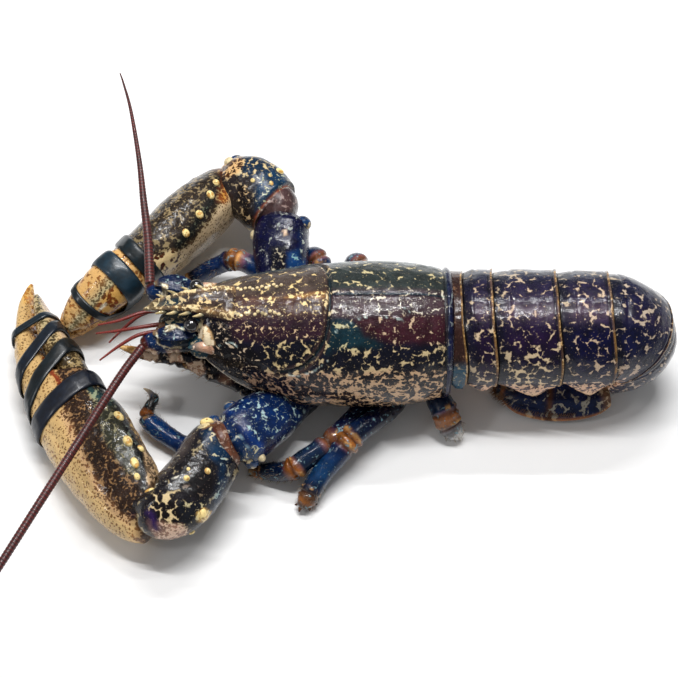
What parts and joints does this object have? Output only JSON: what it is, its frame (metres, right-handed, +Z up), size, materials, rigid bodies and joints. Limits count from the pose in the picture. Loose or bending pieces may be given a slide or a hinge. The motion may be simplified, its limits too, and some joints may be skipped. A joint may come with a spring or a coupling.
{
  "type": "whole raw lobster with banded claws",
  "caption": "Whole raw blue lobster lying on its belly, tail curled under, claws held shut by plain elastic bands, legs and long antennae at its sides.",
  "frame": {"origin": "centre of the whole object's box in plan, on the level it lies on", "axes": "+X from the head to the tail's bend, +Y to the lobster's right side, +Z up; the picture looks from -Y and above"},
  "size_m": [0.2915, 0.2683, 0.064],
  "materials": {
    "shell": "glossy wet shell, black-purple with cream speckle",
    "tail_shell": "glossy wet shell, navy with cream blotches",
    "tail_fan": "blue shell with cream flecks and a bristly orange-brown edge",
    "claw_shell": "glossy mottled olive, brown and cream shell",
    "arm_shell": "glossy deep blue shell with cream net pattern",
    "leg_shell": "glossy vivid blue shell with orange joints",
    "mouth_shell": "dark blue shell with pinkish cream patches and bristles",
    "feeler": "maroon ringed feeler",
    "eye": "black, very glossy",
    "band": "smooth slate-navy elastic band, no print"
  },
  "bodies": {
    "root": {"carapace": "shell", "abdomen_1": "tail_shell", "abdomen_2": "tail_shell", "abdomen_3": "tail_shell", "abdomen_4": "tail_shell", "abdomen_5": "tail_shell", "abdomen_6": "tail_shell", "telson": "tail_fan", "uropod_left_inner": "tail_fan", "uropod_left_outer": "tail_fan", "uropod_right_inner": "tail_fan", "uropod_right_outer": "tail_fan", "claw_left_palm": "claw_shell", "claw_left_dactyl": "claw_shell", "claw_right_palm": "claw_shell", "claw_right_dactyl": "claw_shell", "merus_left": "arm_shell", "merus_right": "arm_shell", "carpus_left": "arm_shell", "carpus_right": "arm_shell", "leg_left_1": "leg_shell", "leg_left_2": "leg_shell", "leg_left_3": "leg_shell", "leg_left_4": "leg_shell", "leg_right_1": "leg_shell", "leg_right_2": "leg_shell", "leg_right_3": "leg_shell", "leg_right_4": "leg_shell", "peduncle_left": "leg_shell", "peduncle_right": "leg_shell", "antennal_scale_left": "leg_shell", "antennal_scale_right": "leg_shell", "maxilliped_left": "mouth_shell", "maxilliped_right": "mouth_shell", "flagellum_left": "feeler", "flagellum_right": "feeler", "antennule_left_upper": "feeler", "antennule_left_lower": "feeler", "antennule_right_upper": "feeler", "antennule_right_lower": "feeler", "eye_left": "eye", "eye_right": "eye", "band_left_1": "band", "band_left_2": "band", "band_left_3": "band", "band_left_4": "band", "band_right_1": "band", "band_right_2": "band", "band_right_3": "band"}
  },
  "joints": []
}
